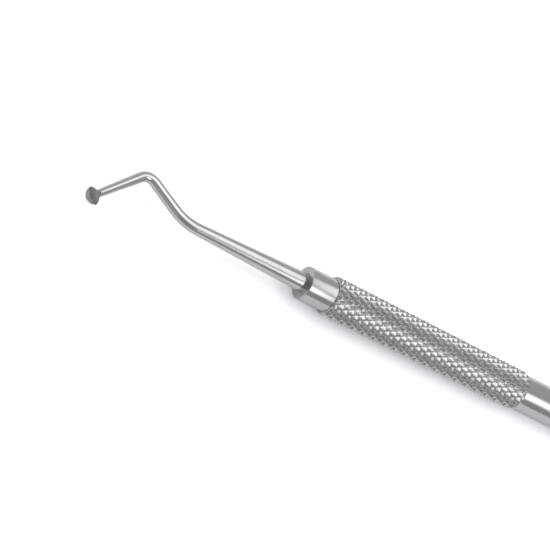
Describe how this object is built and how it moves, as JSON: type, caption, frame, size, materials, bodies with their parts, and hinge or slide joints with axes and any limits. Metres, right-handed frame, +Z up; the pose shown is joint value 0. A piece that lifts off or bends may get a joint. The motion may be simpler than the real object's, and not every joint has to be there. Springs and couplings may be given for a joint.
{
  "type": "dental spoon excavator",
  "caption": "Slender stainless dental excavator with a diamond-knurled grip, plain middle and bent tapered shanks ending in small round spoon bowls.",
  "frame": {"origin": "under the middle of the handle, on the plane it lies on", "axes": "+X along the handle towards the working end whose bowl face looks up, +Z up from the plane it lies on"},
  "size_m": [0.1692, 0.0084, 0.0057],
  "materials": {
    "handle_steel": "fine turned stainless steel, with bright knurl points",
    "working_end_1_steel": "polished stainless steel, with a ground bowl face",
    "working_end_2_steel": "polished stainless steel, with a ground bowl face"
  },
  "bodies": {
    "root": {"handle": "handle_steel", "working_end_1": "working_end_1_steel", "working_end_2": "working_end_2_steel"}
  },
  "joints": []
}
